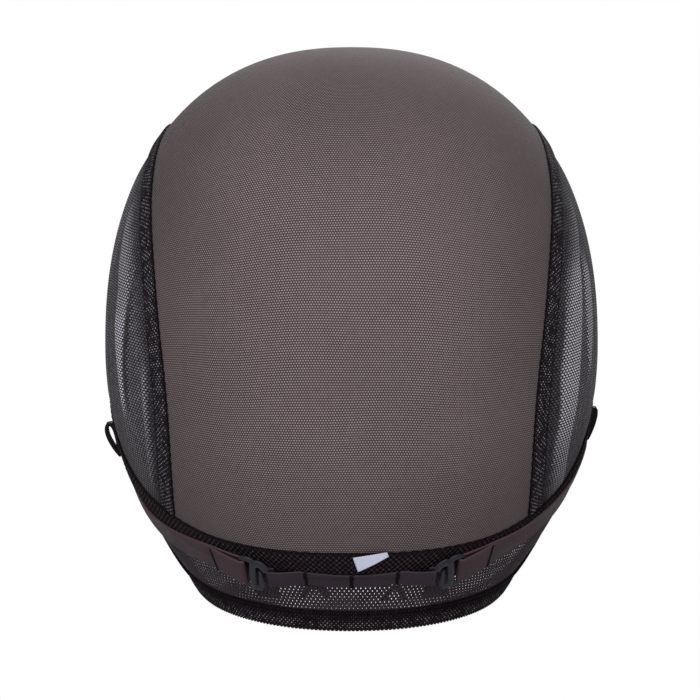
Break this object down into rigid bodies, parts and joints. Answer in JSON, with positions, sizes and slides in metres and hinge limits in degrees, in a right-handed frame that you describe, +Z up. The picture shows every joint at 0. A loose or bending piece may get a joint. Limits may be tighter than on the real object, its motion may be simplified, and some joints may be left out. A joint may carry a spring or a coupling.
{
  "type": "lace wig cap",
  "caption": "Worn-shape wig cap of stretch net: crown panel, sheer gathered side panels, seam tapes, nape tape and net, bound rim, ribbon straps with plastic hooks in a loop tape.",
  "frame": {"origin": "top of the hollow, on the inner face of the crown panel, where the top of the head seats", "axes": "+Z up; the wearer faces +Y, so the nape with the hooks faces -Y; +X to the wearer's right"},
  "size_m": [0.158, 0.1909, 0.1767],
  "materials": {
    "crown_net": "matt stretch net with small light holes",
    "sheer_net": "sheer open net",
    "black_tape": "matt black knit",
    "ribbon": "satin ribbon",
    "loop_tape": "close woven tape",
    "hook_plastic": "satin moulded plastic",
    "label": "woven white tape, blank"
  },
  "bodies": {
    "root": {"crown_panel": "crown_net", "side_mesh_left": "sheer_net", "side_mesh_right": "sheer_net", "seam_tape_left": "black_tape", "seam_tape_right": "black_tape", "nape_tape": "black_tape", "nape_mesh": "sheer_net", "hem_binding": "black_tape", "loop_tape": "loop_tape", "hook_left": "hook_plastic", "hook_right": "hook_plastic", "strap_left": "ribbon", "strap_right": "ribbon", "ear_loop_left": "black_tape", "ear_loop_right": "black_tape", "size_label": "label"}
  },
  "joints": []
}
